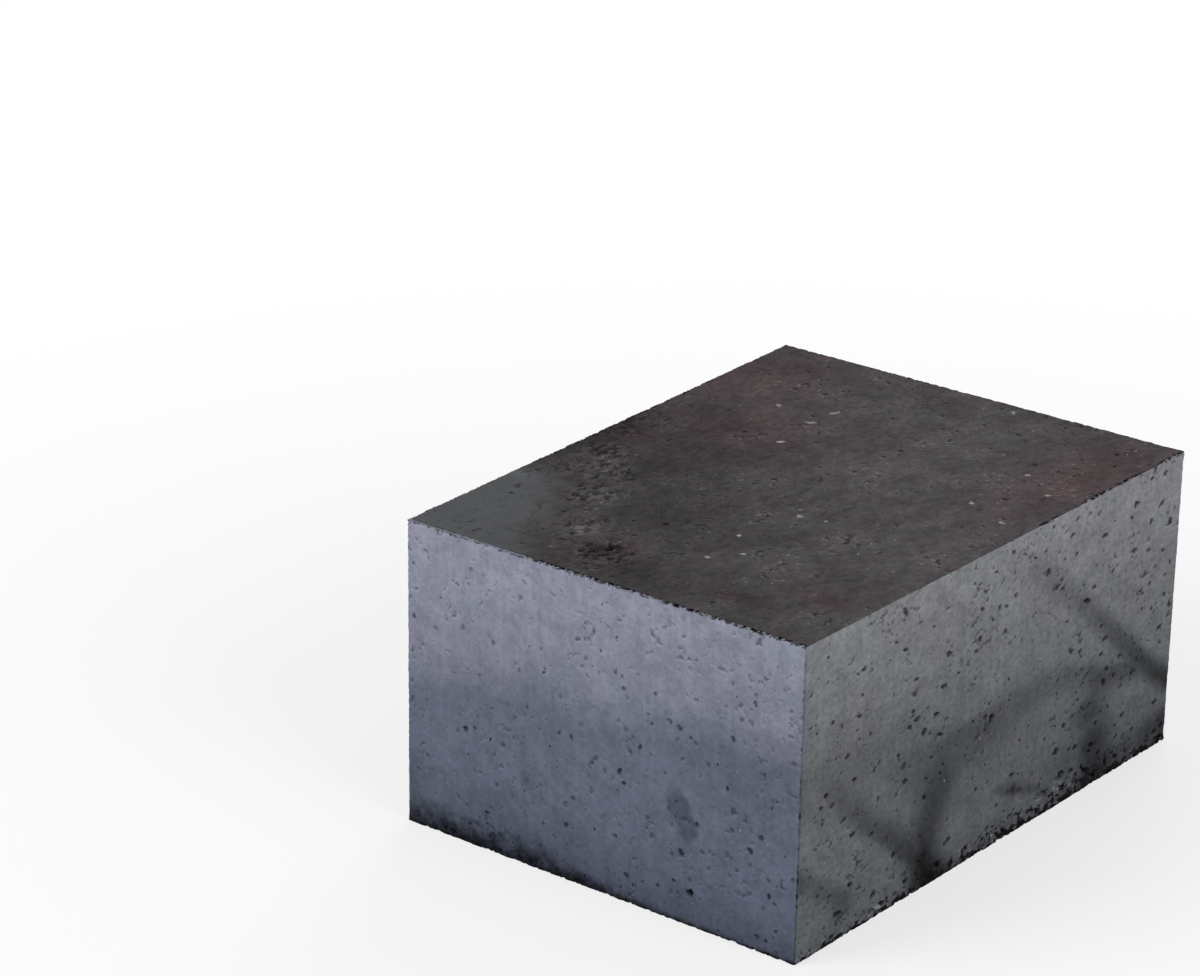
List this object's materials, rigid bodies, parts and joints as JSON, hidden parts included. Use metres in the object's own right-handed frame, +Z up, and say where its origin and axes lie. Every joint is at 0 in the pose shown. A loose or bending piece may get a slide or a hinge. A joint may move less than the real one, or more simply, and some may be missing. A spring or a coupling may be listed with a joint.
{
  "type": "magnesia-carbon brick",
  "caption": "Solid refractory key brick with tapered flanks, dark grey with a graphite sheen and open pores, laid in rings to line steel ladles and furnaces.",
  "frame": {"origin": "centre of the bounding rectangle of the lower bed face, on the surface that the brick lies on", "axes": "+Z up, from the lower bed face to the upper one; +Y along the length, from the narrow hot face to the wide cold face; +X across the width"},
  "size_m": [0.154, 0.2, 0.1],
  "materials": {
    "magnesia_carbon": "matte, pressed, with a graphite sheen on the sides"
  },
  "bodies": {
    "root": {"brick": "magnesia_carbon"}
  },
  "joints": []
}
